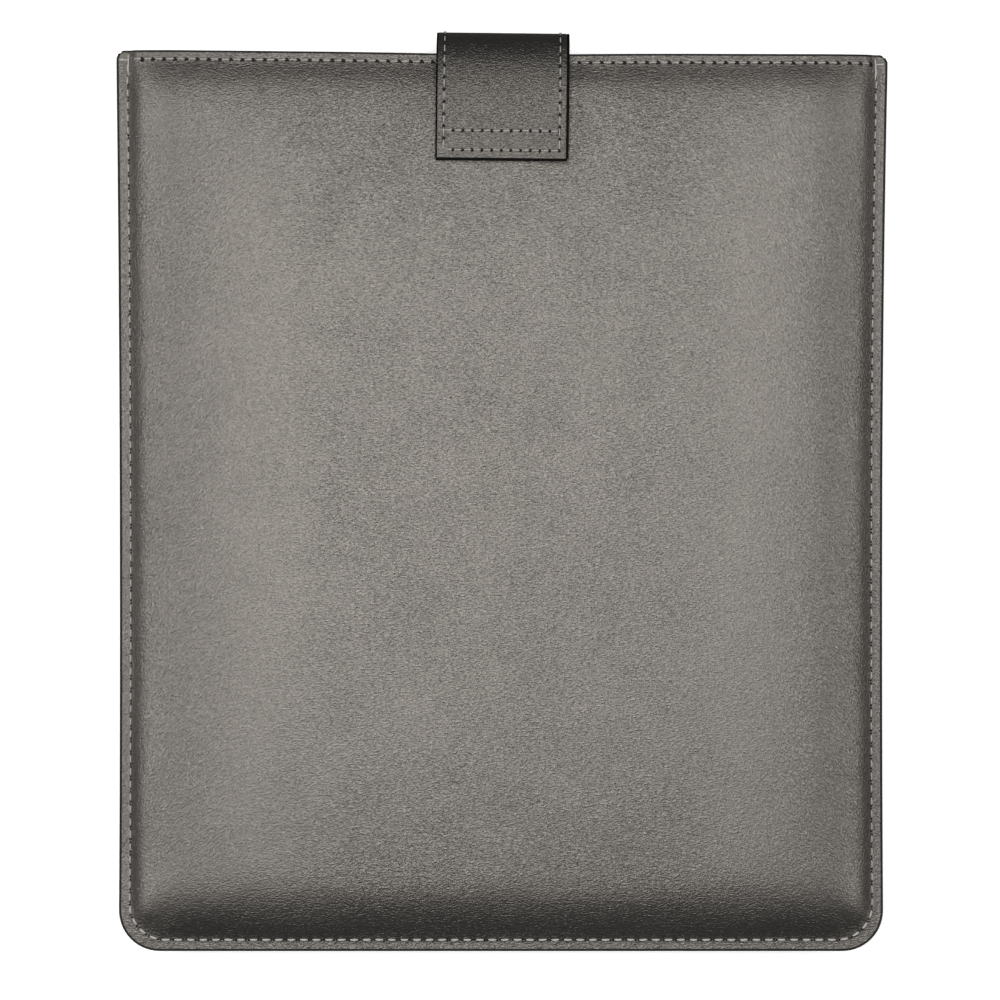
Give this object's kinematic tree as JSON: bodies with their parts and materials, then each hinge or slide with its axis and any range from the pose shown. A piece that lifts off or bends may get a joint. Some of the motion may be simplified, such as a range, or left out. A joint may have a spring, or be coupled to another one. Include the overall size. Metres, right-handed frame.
{
  "type": "tablet sleeve case",
  "caption": "Padded leather sleeve for a 10-inch class tablet, open along one short edge, with a stitched strap whose magnetic tab folds over the mouth to hold it shut.",
  "frame": {"origin": "centre of the flat back face that the case rests on", "axes": "+X across the case, +Y towards the mouth and its strap, +Z from the back to the front"},
  "size_m": [0.2256, 0.2709, 0.023],
  "materials": {
    "outer_leather": "fine wrinkled grain, soft sheen, warm dark grey",
    "strap_lining_leather": "smooth split leather, matte, dark grey",
    "lining_cloth": "brushed microfibre, matte, dark grey",
    "foam": "closed-cell foam sheet",
    "thread": "twisted bonded polyester thread, light grey",
    "edge_paint": "dark edge paint, satin",
    "stiffener": "thin plastic sheet",
    "steel": "zinc-plated strip",
    "magnet": "nickel-plated magnet"
  },
  "bodies": {
    "case": {"front_cover": "outer_leather", "front_foam": "foam", "front_lining": "lining_cloth", "front_facing": "outer_leather", "front_mouth_thread": "thread", "front_mouth_edge_paint": "edge_paint", "rear_cover": "outer_leather", "rear_foam": "foam", "rear_lining": "lining_cloth", "rear_facing": "outer_leather", "rear_mouth_thread": "thread", "rear_mouth_edge_paint": "edge_paint", "seam_thread_front": "thread", "seam_thread_rear": "thread", "seam_edge_paint": "edge_paint", "keeper_plate": "steel", "strap_root_outer": "outer_leather", "strap_root_lining": "strap_lining_leather", "strap_anchor_thread": "thread"},
    "strap_bridge": {"bridge_outer": "outer_leather", "bridge_lining": "strap_lining_leather", "bridge_thread": "thread"},
    "tab": {"tab_outer": "outer_leather", "tab_lining": "strap_lining_leather", "tab_core": "stiffener", "tab_magnet": "magnet", "tab_border_thread": "thread", "tab_cross_thread": "thread", "tab_edge_paint": "edge_paint"}
  },
  "joints": [
    {"name": "strap_lift", "type": "hinge", "parent": "case", "child": "strap_bridge", "pos_m": [0, 0.13636, 0.00374], "axis": [-1, 0, 0], "range_deg": [0, 90]},
    {"name": "tab_fold", "type": "hinge", "parent": "strap_bridge", "child": "tab", "pos_m": [0, 0.13636, 0.02046], "axis": [-1, 0, 0], "range_deg": [0, 90]}
  ]
}
